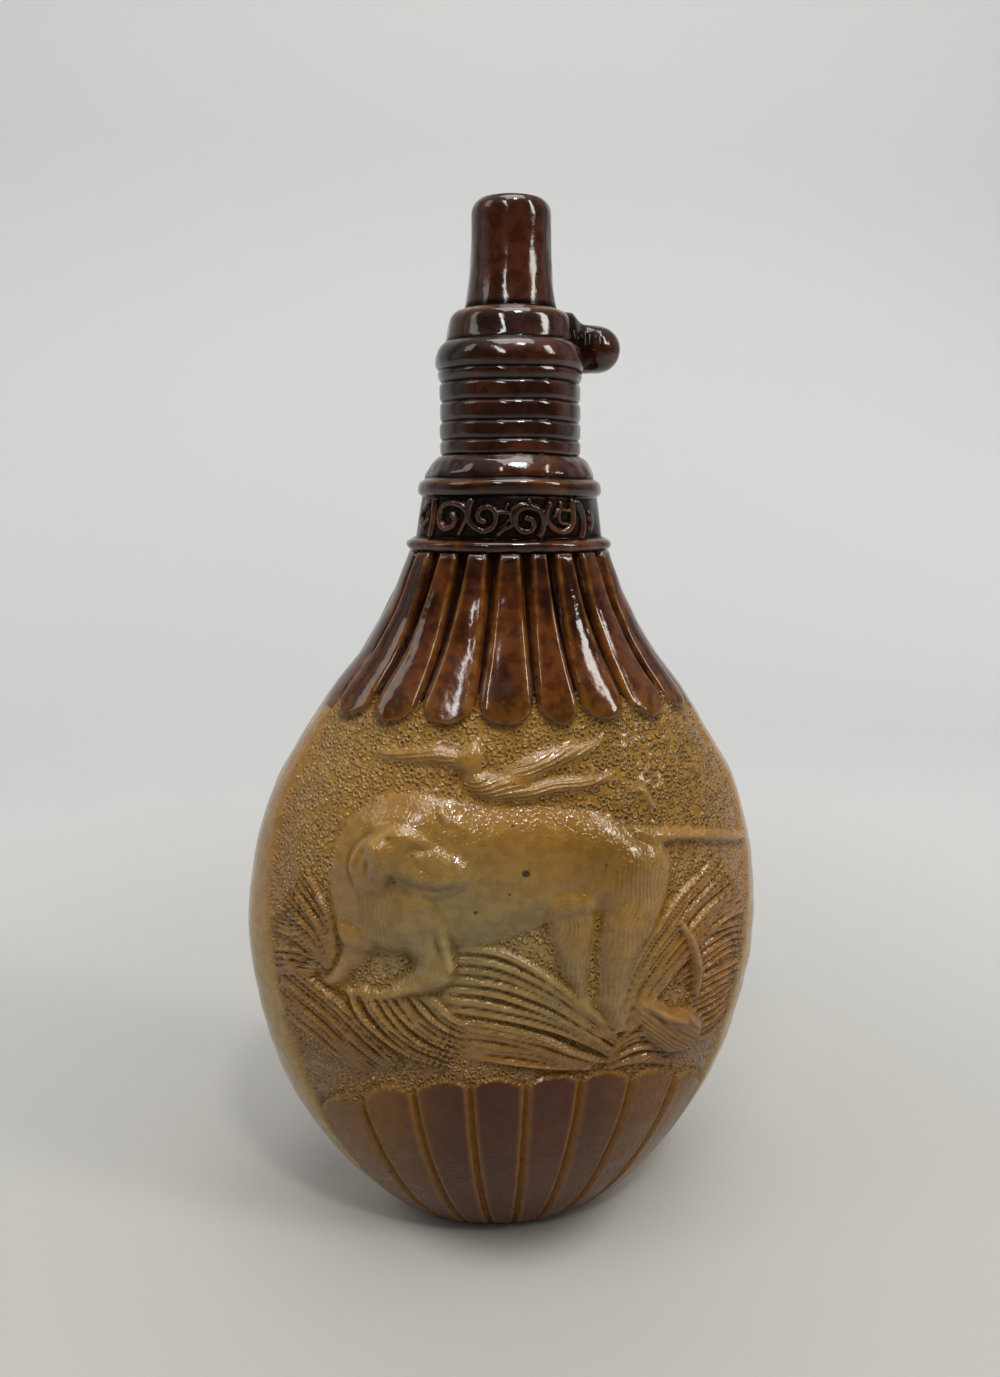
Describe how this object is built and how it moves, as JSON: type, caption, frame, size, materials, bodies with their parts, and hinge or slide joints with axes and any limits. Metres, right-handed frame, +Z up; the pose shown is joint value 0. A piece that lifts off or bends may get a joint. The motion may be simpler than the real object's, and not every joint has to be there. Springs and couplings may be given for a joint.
{
  "type": "spirit flask",
  "caption": "Stoneware spirit flask shaped as a powder flask: flattened pear body with a hunting dog in relief, petals and flutes, ringed neck, open spout and thumb lug.",
  "frame": {"origin": "centre of the flat foot, on the surface it stands on", "axes": "+Z up along the neck, +X along the width towards the thumb lug, -Y out of the front with the dog"},
  "size_m": [0.1138, 0.0629, 0.22],
  "materials": {
    "salt_glazed_stoneware": "glossy brown and tan salt glaze"
  },
  "bodies": {
    "root": {"flask": "salt_glazed_stoneware"}
  },
  "joints": []
}
